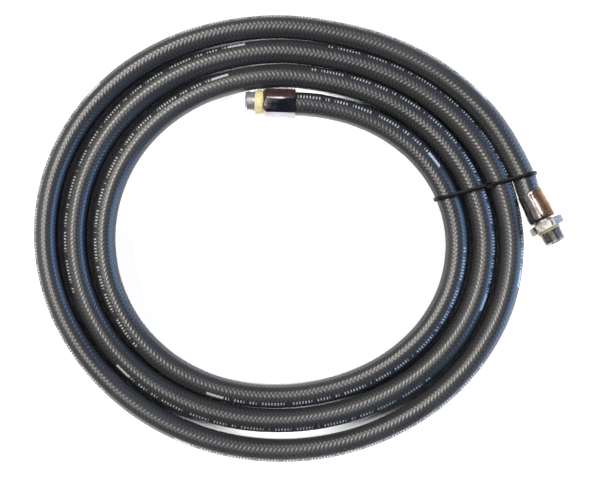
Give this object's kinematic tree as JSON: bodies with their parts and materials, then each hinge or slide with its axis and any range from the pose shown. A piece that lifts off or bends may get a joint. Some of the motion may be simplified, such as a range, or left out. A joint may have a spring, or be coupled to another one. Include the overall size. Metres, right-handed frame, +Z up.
{
  "type": "hydraulic hose assembly",
  "caption": "Coiled wire-braid rubber hydraulic hose with a hexagonal socket and fixed male thread at one end and a crimped ferrule with a swivel male end at the other, held by a cable tie.",
  "frame": {"origin": "under the middle of the assembly's outline, at the level it lies on", "axes": "+X along the coil's long way, towards the swivel end; +Y across the coil; +Z up"},
  "size_m": [0.6028, 0.5088, 0.0416],
  "materials": {
    "cover_rubber": "satin black rubber with a cloth-wrap impression",
    "tube_rubber": "smooth black nitrile",
    "braid_steel": "brass-coated braiding wire",
    "tie_nylon": "black moulded nylon",
    "chrome_plate": "bright plated steel, slightly worn",
    "machined_steel": "turned steel, bright zinc",
    "thread_tape": "cream thread seal tape, wound on",
    "seal_rubber": "black nitrile seal"
  },
  "bodies": {
    "hose_assembly": {"hose_cover": "cover_rubber", "wire_braid": "braid_steel", "inner_tube": "tube_rubber", "cable_tie": "tie_nylon", "hex_socket": "chrome_plate", "fixed_nipple": "machined_steel", "fixed_thread_tape": "thread_tape", "crimp_ferrule": "chrome_plate", "swivel_stem": "machined_steel", "thrust_washer": "machined_steel", "retaining_ring": "machined_steel", "rear_o_ring": "seal_rubber", "front_o_ring": "seal_rubber"},
    "swivel_end": {"swivel_body": "chrome_plate", "swivel_thread_tape": "thread_tape"}
  },
  "joints": [
    {"name": "swivel_spin", "type": "hinge", "parent": "hose_assembly", "child": "swivel_end", "pos_m": [0.26137, 0.05211, 0.0175], "axis": [0.4615, -0.8828, 0.0872], "continuous": true}
  ]
}
